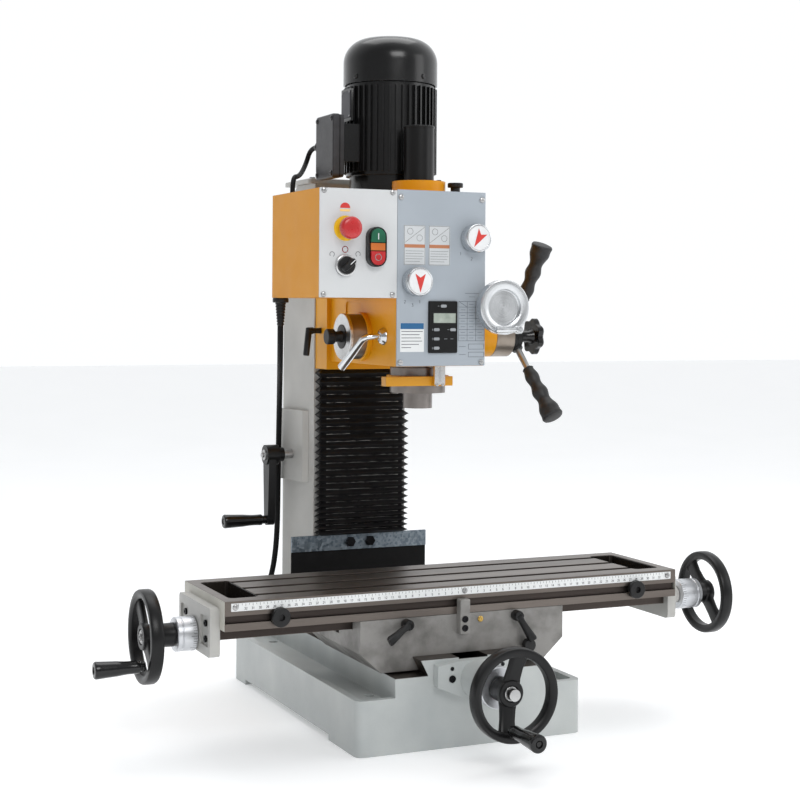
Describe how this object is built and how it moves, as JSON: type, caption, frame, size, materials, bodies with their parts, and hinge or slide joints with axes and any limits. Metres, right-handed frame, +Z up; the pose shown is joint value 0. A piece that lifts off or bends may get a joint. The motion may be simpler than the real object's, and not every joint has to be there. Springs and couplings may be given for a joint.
{
  "type": "benchtop milling machine",
  "caption": "Benchtop milling machine with T-slot table, dovetail column, quill head, gearbox, motor and working hand feeds.",
  "frame": {"origin": "centre of the base's bench-bolt pattern, on the bench", "axes": "+Z up, +X along the table to the operator's right, -Y towards the operator"},
  "size_m": [0.979, 0.8975, 1.013],
  "materials": {
    "cast_paint_white": "semi-gloss",
    "cast_paint_grey": "semi-gloss",
    "orange_paint": "semi-gloss",
    "orange_sheet": "satin",
    "machined_iron": "machined",
    "rough_iron": "rough",
    "steel": "machined",
    "galvanised": "spangled",
    "chrome": "polished",
    "aluminium": "turned",
    "silver_panel": "brushed",
    "grey_panel": "satin",
    "black_paint": "gloss",
    "black_plastic": "satin",
    "black_gloss_plastic": "gloss",
    "black_rubber": "matt",
    "red_plastic": "gloss",
    "green_plastic": "gloss",
    "knob_face": "satin"
  },
  "bodies": {
    "base": {"base_casting": "cast_paint_white", "column_casting": "cast_paint_grey", "cross_feed_bracket": "rough_iron", "z_crank_bracket": "cast_paint_grey", "way_cover_strip": "galvanised", "way_cover_sheet": "black_rubber", "bellows": "black_rubber", "mains_cord": "black_rubber", "mains_coil": "black_rubber", "mains_plug": "black_plastic"},
    "saddle": {"saddle_casting": "rough_iron", "slide_gibs": "machined_iron"},
    "saddle_lever_left": {"lock_lever_left": "black_plastic"},
    "saddle_lever_right": {"lock_lever_right": "black_plastic"},
    "saddle_knob": {"saddle_lock_knob": "black_plastic"},
    "table": {"table_casting": "machined_iron", "table_brackets": "cast_paint_grey"},
    "x_feed": {"x_leadscrew": "steel", "x_handwheels": "black_paint", "x_dials": "steel"},
    "x_grip": {"x_wheel_grip": "black_gloss_plastic"},
    "y_feed": {"y_leadscrew": "steel", "y_handwheel": "black_paint", "y_dial": "steel"},
    "y_grip": {"y_wheel_grip": "black_gloss_plastic"},
    "z_screw": {"z_leadscrew": "steel"},
    "crank": {"z_crank_shaft": "steel", "z_crank": "black_paint"},
    "crank_grip": {"z_crank_grip": "black_gloss_plastic"},
    "head": {"head_casting": "orange_paint", "head_panel": "grey_panel", "control_box": "orange_sheet", "control_panel": "silver_panel", "motor_body": "black_paint", "fan_cover": "black_paint", "terminal_box": "black_plastic", "drawbar_cover": "black_plastic", "feed_housing": "orange_paint", "spring_housing": "machined_iron", "motor_cable": "black_rubber", "mains_gland": "black_plastic"},
    "rotor": {"motor_rotor": "steel"},
    "cluster": {"gear_cluster": "steel"},
    "drive": {"drive_gear": "steel"},
    "quill_group": {"quill": "steel", "depth_clamp": "orange_paint"},
    "spindle_group": {"spindle": "steel"},
    "feed": {"feed_hub": "steel", "feed_grips": "black_plastic"},
    "clutch": {"feed_clutch_knob": "black_plastic"},
    "fine_wheel": {"fine_feed_wheel": "aluminium"},
    "fine_handle": {"fine_feed_handle": "chrome"},
    "quill_lever": {"quill_lock_lever": "chrome"},
    "head_lever": {"head_lock_lever": "black_plastic"},
    "upper_knob": {"speed_knob_upper": "knob_face"},
    "lower_knob": {"speed_knob_lower": "knob_face"},
    "estop": {"estop_button": "red_plastic"},
    "start": {"start_button": "green_plastic"},
    "stop": {"stop_button": "red_plastic"},
    "selector": {"selector_knob": "black_plastic"}
  },
  "joints": [
    {"name": "saddle_slide", "type": "slide", "parent": "base", "child": "saddle", "axis": [0, 1, 0], "range_m": [-0.076, 0.1]},
    {"name": "table_slide", "type": "slide", "parent": "saddle", "child": "table", "axis": [1, 0, 0], "range_m": [-0.1905, 0.1905]},
    {"name": "x_screw_spin", "type": "hinge", "parent": "table", "child": "x_feed", "pos_m": [0, -0.14, 0.161], "axis": [1, 0, 0], "range_deg": [-17100, 17100]},
    {"name": "x_grip_spin", "type": "hinge", "parent": "x_feed", "child": "x_grip", "pos_m": [-0.47, -0.16944, 0.1283], "axis": [1, 0, 0], "continuous": true},
    {"name": "y_screw_spin", "type": "hinge", "parent": "base", "child": "y_feed", "pos_m": [0, 0, 0.095], "axis": [0, 1, 0], "range_deg": [-6850, 9010]},
    {"name": "y_grip_spin", "type": "hinge", "parent": "y_feed", "child": "y_grip", "pos_m": [-0.0075, -0.42, 0.0515], "axis": [0, 1, 0], "continuous": true},
    {"name": "saddle_lever_left_turn", "type": "hinge", "parent": "saddle", "child": "saddle_lever_left", "pos_m": [-0.0897, -0.229, 0.1684], "axis": [0, -1, 0], "range_deg": [-35, 60]},
    {"name": "saddle_lever_right_turn", "type": "hinge", "parent": "saddle", "child": "saddle_lever_right", "pos_m": [0.0802, -0.229, 0.1686], "axis": [0, -1, 0], "range_deg": [-60, 35]},
    {"name": "saddle_knob_turn", "type": "hinge", "parent": "saddle", "child": "saddle_knob", "pos_m": [0.096, -0.229, 0.127], "axis": [0, -1, 0], "range_deg": [-180, 180]},
    {"name": "crank_spin", "type": "hinge", "parent": "base", "child": "crank", "pos_m": [-0.1, 0.205, 0.364], "axis": [1, 0, 0], "range_deg": [-14410, 2170]},
    {"name": "crank_grip_spin", "type": "hinge", "parent": "crank", "child": "crank_grip", "pos_m": [-0.18, 0.205, 0.2605], "axis": [1, 0, 0], "continuous": true},
    {"name": "z_screw_spin", "type": "hinge", "parent": "base", "child": "z_screw", "pos_m": [0, 0.205, 0.4], "axis": [0, 0, 1], "range_deg": [-14410, 2170]},
    {"name": "head_slide", "type": "slide", "parent": "base", "child": "head", "axis": [0, 0, 1], "range_m": [-0.16, 0.024], "deforming": ["bellows", "mains_cord"]},
    {"name": "motor_spin", "type": "hinge", "parent": "head", "child": "rotor", "pos_m": [0, 0.036, 0.8], "axis": [0, 0, 1], "continuous": true},
    {"name": "cluster_spin", "type": "hinge", "parent": "head", "child": "cluster", "pos_m": [0, -0.012, 0.7], "axis": [0, 0, 1], "continuous": true},
    {"name": "drive_gear_spin", "type": "hinge", "parent": "head", "child": "drive", "pos_m": [0, -0.07, 0.7], "axis": [0, 0, 1], "continuous": true},
    {"name": "feed_turn", "type": "hinge", "parent": "head", "child": "feed", "pos_m": [0, -0.0275, 0.5575], "axis": [1, 0, 0], "range_deg": [0, 401], "stiffness_Nm_per_rad": 0.15, "springref_deg": -429.72},
    {"name": "quill_slide", "type": "slide", "parent": "head", "child": "quill_group", "axis": [0, 0, -1], "range_m": [-0.0005, 0.0705]},
    {"name": "spindle_spin", "type": "hinge", "parent": "quill_group", "child": "spindle_group", "pos_m": [0, -0.07, 0.6], "axis": [0, 0, 1], "continuous": true},
    {"name": "clutch_knob_turn", "type": "hinge", "parent": "feed", "child": "clutch", "pos_m": [0.219, -0.0275, 0.5575], "axis": [1, 0, 0], "range_deg": [-180, 180]},
    {"name": "fine_feed_spin", "type": "hinge", "parent": "head", "child": "fine_wheel", "pos_m": [0.0868, -0.172, 0.6022], "axis": [0, 1, 0], "continuous": true},
    {"name": "fine_handle_fold", "type": "hinge", "parent": "fine_wheel", "child": "fine_handle", "pos_m": [0.1061, -0.188, 0.5697], "axis": [0, 0, 1], "range_deg": [0, 90]},
    {"name": "quill_lever_turn", "type": "hinge", "parent": "head", "child": "quill_lever", "pos_m": [-0.076, -0.104, 0.559], "axis": [1, 0, 0], "range_deg": [-75, 22]},
    {"name": "head_lever_turn", "type": "hinge", "parent": "head", "child": "head_lever", "pos_m": [-0.09, 0.126, 0.564], "axis": [1, 0, 0], "range_deg": [-60, 60]},
    {"name": "upper_speed_turn", "type": "hinge", "parent": "head", "child": "upper_knob", "pos_m": [0.0505, -0.16, 0.7016], "axis": [0, 1, 0], "range_deg": [-60, 60]},
    {"name": "lower_speed_turn", "type": "hinge", "parent": "head", "child": "lower_knob", "pos_m": [-0.0423, -0.16, 0.6377], "axis": [0, 1, 0], "range_deg": [-60, 60]},
    {"name": "estop_press", "type": "slide", "parent": "head", "child": "estop", "axis": [0, 1, 0], "range_m": [0, 0.005]},
    {"name": "start_press", "type": "slide", "parent": "head", "child": "start", "axis": [0, 1, 0], "range_m": [0, 0.003], "stiffness_N_per_m": 500, "springref_m": -0.004},
    {"name": "stop_press", "type": "slide", "parent": "head", "child": "stop", "axis": [0, 1, 0], "range_m": [0, 0.003], "stiffness_N_per_m": 500, "springref_m": -0.004},
    {"name": "selector_turn", "type": "hinge", "parent": "head", "child": "selector", "pos_m": [-0.15, -0.155, 0.6593], "axis": [0, 1, 0], "range_deg": [-80, 10]}
  ],
  "couplings": [
    {"joint": "y_screw_spin", "follows": "saddle_slide", "rad_per_m": 1570.8},
    {"joint": "table_slide", "follows": "x_screw_spin", "m_per_rad": 0.00063662},
    {"joint": "z_screw_spin", "follows": "head_slide", "rad_per_m": 1570.8},
    {"joint": "crank_spin", "follows": "head_slide", "rad_per_m": 1570.8},
    {"joint": "cluster_spin", "follows": "motor_spin", "ratio": -0.71429},
    {"joint": "drive_gear_spin", "follows": "motor_spin", "ratio": 0.32143},
    {"joint": "spindle_spin", "follows": "motor_spin", "ratio": 0.32143},
    {"joint": "quill_slide", "follows": "feed_turn", "m_per_rad": 0.01}
  ]
}
